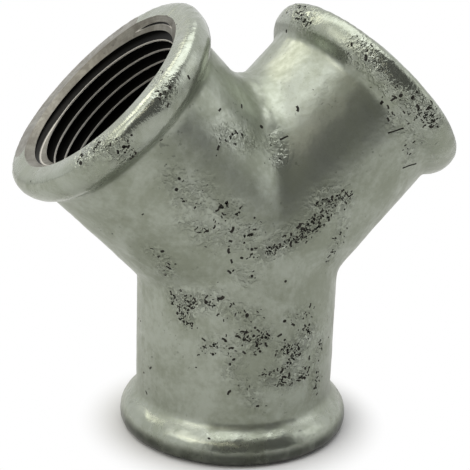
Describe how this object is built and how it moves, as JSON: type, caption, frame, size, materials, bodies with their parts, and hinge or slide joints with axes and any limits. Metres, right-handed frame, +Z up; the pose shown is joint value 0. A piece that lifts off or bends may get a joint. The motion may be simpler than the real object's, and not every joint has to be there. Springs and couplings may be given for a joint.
{
  "type": "equal wye pipe fitting",
  "caption": "Galvanised malleable-iron wye fitting: a run leg parts into equal branches to either side, every mouth banded and threaded inside.",
  "frame": {"origin": "centre of the run leg's mouth face, which the fitting stands on", "axes": "+Z up the run leg's axis; the branch legs lean 45 degrees towards -X and +X in the XZ plane"},
  "size_m": [0.0868, 0.046, 0.0834],
  "materials": {
    "galvanised_iron": "hot-dip galvanised, dull zinc grey with pits; threads and countersinks machined"
  },
  "bodies": {
    "root": {"wye_casting": "galvanised_iron"}
  },
  "joints": []
}
